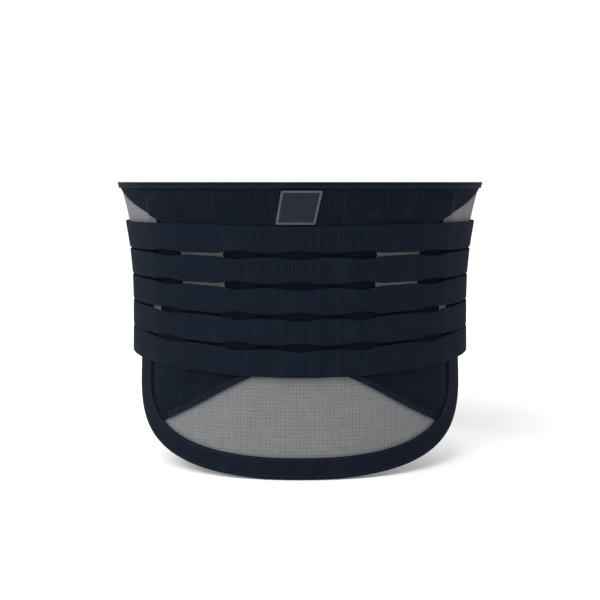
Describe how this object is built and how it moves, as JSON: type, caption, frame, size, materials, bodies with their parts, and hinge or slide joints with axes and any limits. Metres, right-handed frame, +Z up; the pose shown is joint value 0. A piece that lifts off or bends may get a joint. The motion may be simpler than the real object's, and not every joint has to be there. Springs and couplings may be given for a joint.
{
  "type": "back brace",
  "caption": "Lumbar back brace: a grey mesh belt with dark panels, ribbed elastic straps over upright stays, a low rounded back flap, front wings that open and pull tabs.",
  "frame": {"origin": "middle of the wearer's waist, level with the middle strap", "axes": "+Z up along the body, +X to the wearer's right, +Y towards the front closure, back at -Y"},
  "size_m": [0.306, 0.2321, 0.2268],
  "materials": {
    "grey_mesh": "matte",
    "perforated_cloth": "matte",
    "loop_cloth": "matte",
    "binding": "matte",
    "elastic": "matte",
    "pocket_tape": "matte",
    "stay_steel": "satin",
    "badge": "matte",
    "badge_border": "satin",
    "hook_tape": "matte",
    "tab_cloth": "matte",
    "grip_tape": "matte"
  },
  "bodies": {
    "root": {"back_mesh": "grey_mesh", "upper_panel": "perforated_cloth", "centre_panel": "perforated_cloth", "lower_panel": "perforated_cloth", "window_hem": "binding", "badge": "badge", "badge_border": "badge_border", "top_binding": "binding", "bottom_binding": "binding", "back_strap_1": "elastic", "back_strap_2": "elastic", "back_strap_3": "elastic", "back_strap_4": "elastic", "back_strap_5": "elastic", "stay_pocket_1": "pocket_tape", "stay_pocket_2": "pocket_tape", "stay_pocket_3": "pocket_tape", "stay_pocket_4": "pocket_tape", "stay_pocket_5": "pocket_tape", "stay_1": "stay_steel", "stay_2": "stay_steel", "stay_3": "stay_steel", "stay_4": "stay_steel", "stay_5": "stay_steel"},
    "left_wing": {"left_wing_mesh": "grey_mesh", "left_wing_panel": "loop_cloth", "left_wing_binding": "binding", "left_strap_1": "elastic", "left_strap_2": "elastic", "left_strap_3": "elastic", "left_strap_4": "elastic", "left_strap_5": "elastic", "left_closure_hook": "hook_tape"},
    "left_pull": {"left_pull_outer": "tab_cloth", "left_pull_inner": "tab_cloth", "left_pull_hook": "hook_tape", "left_pull_grip": "grip_tape"},
    "right_wing": {"right_wing_mesh": "grey_mesh", "right_wing_panel": "loop_cloth", "right_wing_binding": "binding", "right_strap_1": "elastic", "right_strap_2": "elastic", "right_strap_3": "elastic", "right_strap_4": "elastic", "right_strap_5": "elastic"},
    "right_pull": {"right_pull_outer": "tab_cloth", "right_pull_inner": "tab_cloth", "right_pull_hook": "hook_tape", "right_pull_grip": "grip_tape"}
  },
  "joints": [
    {"name": "left_wing_open", "type": "hinge", "parent": "root", "child": "left_wing", "pos_m": [-0.1536, 0, 0], "axis": [0, 0, 1], "range_deg": [0, 70]},
    {"name": "right_wing_open", "type": "hinge", "parent": "root", "child": "right_wing", "pos_m": [0.1536, 0, 0], "axis": [0, 0, -1], "range_deg": [0, 70]},
    {"name": "left_pull_peel", "type": "hinge", "parent": "left_wing", "child": "left_pull", "pos_m": [-0.1311, 0.0529, 0], "axis": [0, 0, 1], "range_deg": [0, 75]},
    {"name": "right_pull_peel", "type": "hinge", "parent": "right_wing", "child": "right_pull", "pos_m": [0.1311, 0.0529, 0], "axis": [0, 0, -1], "range_deg": [0, 75]}
  ],
  "couplings": [
    {"joint": "right_wing_open", "follows": "left_wing_open", "ratio": 1}
  ]
}
